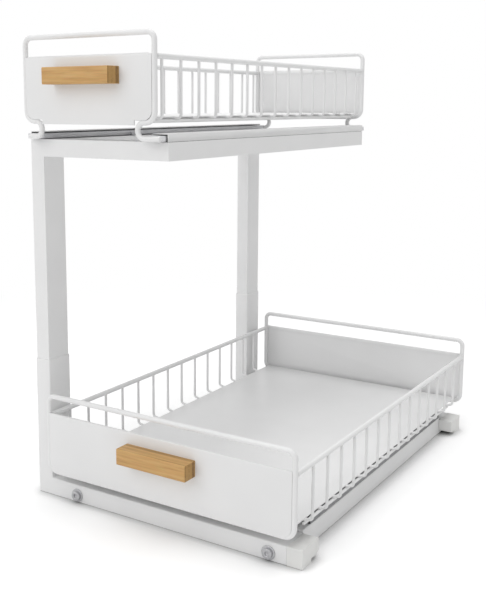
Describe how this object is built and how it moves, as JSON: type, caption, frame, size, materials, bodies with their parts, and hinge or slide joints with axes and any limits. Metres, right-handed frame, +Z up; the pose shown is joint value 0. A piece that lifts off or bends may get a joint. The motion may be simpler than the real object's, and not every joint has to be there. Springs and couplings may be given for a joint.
{
  "type": "pull out cabinet basket",
  "caption": "Two-tier pull-out cabinet basket: an L-shaped white steel tube stand, a wide lower and a narrow upper wire basket with panels, wooden handles and sliding runners.",
  "frame": {"origin": "middle of the bounding box at floor level", "axes": "+X to the right seen from the front, +Y to the rear, +Z up; the baskets slide out along -Y"},
  "size_m": [0.3, 0.4584, 0.4537],
  "materials": {
    "white_steel": "white powder coat, fine satin",
    "cap_plastic": "off-white moulded plastic",
    "liner_plastic": "black moulded plastic",
    "zinc_steel": "zinc plated, satin",
    "wood": "light laminated wood, oiled"
  },
  "bodies": {
    "stand": {"front_sleeve": "white_steel", "rear_sleeve": "white_steel", "front_base_tube": "white_steel", "rear_base_tube": "white_steel", "left_base_rail": "white_steel", "right_base_rail": "white_steel", "front_end_cap": "cap_plastic", "rear_end_cap": "cap_plastic", "front_post": "white_steel", "rear_post": "white_steel", "shelf_front_tube": "white_steel", "shelf_rear_tube": "white_steel", "shelf_left_tube": "white_steel", "shelf_right_tube": "white_steel", "frame_screws": "zinc_steel", "frame_washers": "zinc_steel", "lower_left_track": "white_steel", "lower_right_track": "white_steel", "upper_left_track": "white_steel", "upper_right_track": "white_steel", "lower_track_liners": "liner_plastic", "upper_track_liners": "liner_plastic", "lower_stop_pins": "zinc_steel", "upper_stop_pins": "zinc_steel"},
    "lower_basket": {"lower_front_frame": "white_steel", "lower_rear_frame": "white_steel", "lower_front_panel": "white_steel", "lower_rear_panel": "white_steel", "lower_left_grille": "white_steel", "lower_right_grille": "white_steel", "lower_floor_wires": "white_steel", "lower_tray": "white_steel", "lower_feet": "white_steel", "lower_left_runner": "zinc_steel", "lower_right_runner": "zinc_steel", "lower_handle": "wood", "lower_handle_screws": "zinc_steel"},
    "upper_basket": {"upper_front_frame": "white_steel", "upper_rear_frame": "white_steel", "upper_front_panel": "white_steel", "upper_rear_panel": "white_steel", "upper_left_grille": "white_steel", "upper_right_grille": "white_steel", "upper_floor_wires": "white_steel", "upper_tray": "white_steel", "upper_left_runner": "zinc_steel", "upper_right_runner": "zinc_steel", "upper_handle": "wood", "upper_handle_screws": "zinc_steel"}
  },
  "joints": [
    {"name": "lower_basket_slide", "type": "slide", "parent": "stand", "child": "lower_basket", "axis": [0, -1, 0], "range_m": [0, 0.245]},
    {"name": "upper_basket_slide", "type": "slide", "parent": "stand", "child": "upper_basket", "axis": [0, -1, 0], "range_m": [0, 0.29]}
  ]
}
